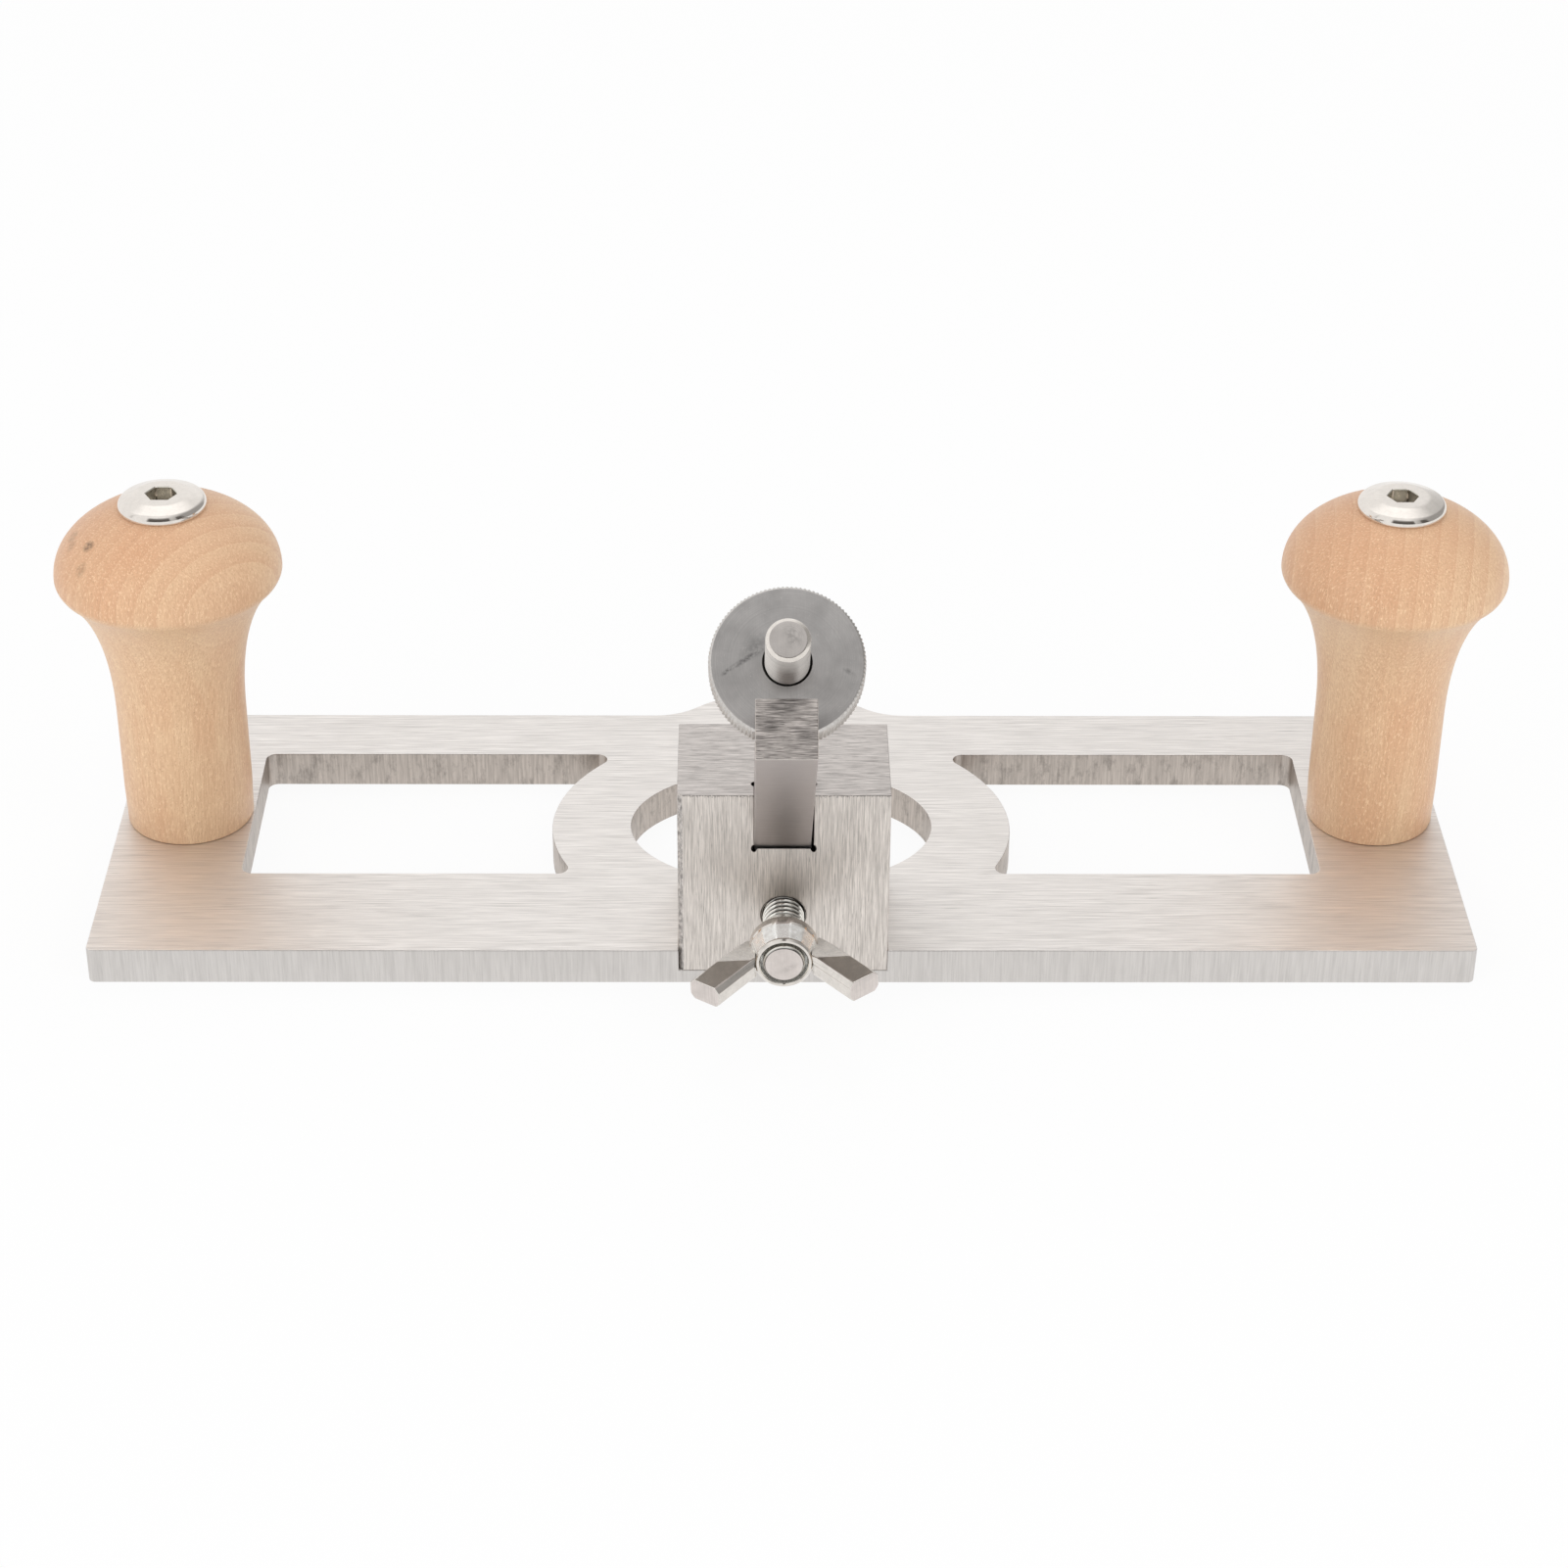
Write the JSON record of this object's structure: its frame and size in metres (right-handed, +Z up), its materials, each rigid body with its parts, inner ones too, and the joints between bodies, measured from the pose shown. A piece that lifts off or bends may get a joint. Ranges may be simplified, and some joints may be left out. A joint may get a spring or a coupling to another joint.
{
  "type": "hand router plane",
  "caption": "Low two-handled router plane: flat steel sole with window cut-outs and an oval mouth, square blade held at a slant in a block, knurled depth wheel and wing clamp.",
  "frame": {"origin": "on the sole, midway along its length, under the middle of the front rail", "axes": "+X along the sole to the right, +Y away from the user and from the blade's upper end, +Z up"},
  "size_m": [0.2122, 0.1102, 0.0746],
  "materials": {
    "ground_steel": "brushed along the plate's length",
    "block_steel": "coarse upright brushing",
    "screw_steel": "dull",
    "handle_wood": "sanded pale maple under a thin satin lacquer",
    "bolt_chrome": "polished",
    "blade_steel": "ground",
    "spindle_steel": "polished bar",
    "wheel_steel": "turned, with a knurled rim",
    "clamp_nickel": "bright plated thread",
    "wing_nickel": "bright plated casting"
  },
  "bodies": {
    "frame": {"base_plate": "ground_steel", "blade_block": "block_steel", "left_block_screw": "screw_steel", "right_block_screw": "screw_steel", "left_handle": "handle_wood", "right_handle": "handle_wood", "left_handle_bolt": "bolt_chrome", "right_handle_bolt": "bolt_chrome"},
    "blade": {"router_blade": "blade_steel"},
    "adjuster": {"adjuster_spindle": "spindle_steel", "adjuster_wheel": "wheel_steel"},
    "clamp": {"clamp_screw": "clamp_nickel"},
    "wings": {"wing_head": "wing_nickel"}
  },
  "joints": [
    {"name": "blade_depth", "type": "slide", "parent": "frame", "child": "blade", "axis": [0, 0.7071, -0.7071], "range_m": [-0.004, 0.016]},
    {"name": "adjuster_turn", "type": "hinge", "parent": "blade", "child": "adjuster", "pos_m": [0, -0.00232, 0.03694], "axis": [0, 0.7071, -0.7071], "range_deg": [-1441, 5761]},
    {"name": "clamp_travel", "type": "slide", "parent": "frame", "child": "clamp", "axis": [0, -1, 0], "range_m": [0, 0.003]},
    {"name": "clamp_turn", "type": "hinge", "parent": "clamp", "child": "wings", "pos_m": [0, -0.0185, 0.0117], "axis": [0, -1, 0], "range_deg": [0, 1081]}
  ],
  "couplings": [
    {"joint": "adjuster_turn", "follows": "blade_depth", "rad_per_m": 6283.2},
    {"joint": "clamp_turn", "follows": "clamp_travel", "rad_per_m": 6283.2}
  ]
}
